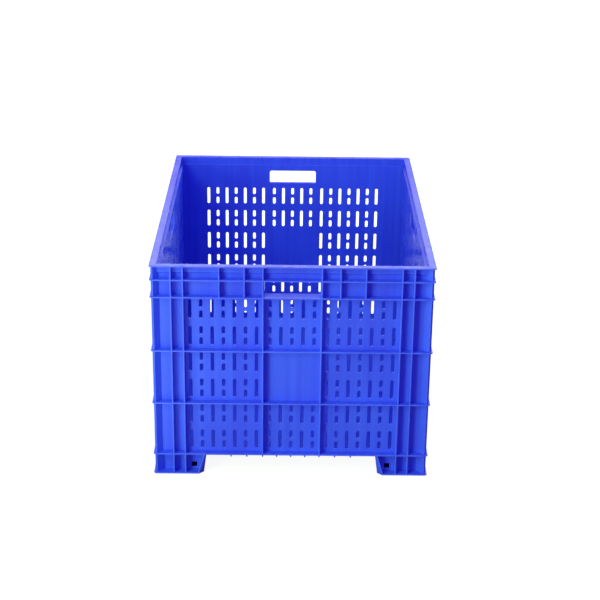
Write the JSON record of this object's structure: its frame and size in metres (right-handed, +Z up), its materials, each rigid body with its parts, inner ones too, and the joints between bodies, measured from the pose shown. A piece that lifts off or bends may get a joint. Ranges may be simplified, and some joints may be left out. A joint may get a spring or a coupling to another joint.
{
  "type": "vented bulk container",
  "caption": "Open rectangular plastic crate on corner feet, with slotted ribbed walls, handholds, a stacking rim and a fork gap below.",
  "frame": {"origin": "on the ground under the middle of the container", "axes": "+X along the end walls, +Y along the side walls, away from the viewer, +Z up"},
  "size_m": [0.6, 0.8, 0.488],
  "materials": {
    "blue_plastic": "moulded, satin"
  },
  "bodies": {
    "root": {"floor_deck": "blue_plastic", "floor_ribs": "blue_plastic", "front_hand_band": "blue_plastic", "front_left_corner_post": "blue_plastic", "front_left_foot": "blue_plastic", "front_right_corner_post": "blue_plastic", "front_right_foot": "blue_plastic", "front_rim_rail": "blue_plastic", "front_vent_panel": "blue_plastic", "left_hand_band": "blue_plastic", "left_rim_rail": "blue_plastic", "left_vent_panel": "blue_plastic", "rear_hand_band": "blue_plastic", "rear_left_corner_post": "blue_plastic", "rear_left_foot": "blue_plastic", "rear_right_corner_post": "blue_plastic", "rear_right_foot": "blue_plastic", "rear_rim_rail": "blue_plastic", "rear_vent_panel": "blue_plastic", "right_hand_band": "blue_plastic", "right_rim_rail": "blue_plastic", "right_vent_panel": "blue_plastic"}
  },
  "joints": []
}
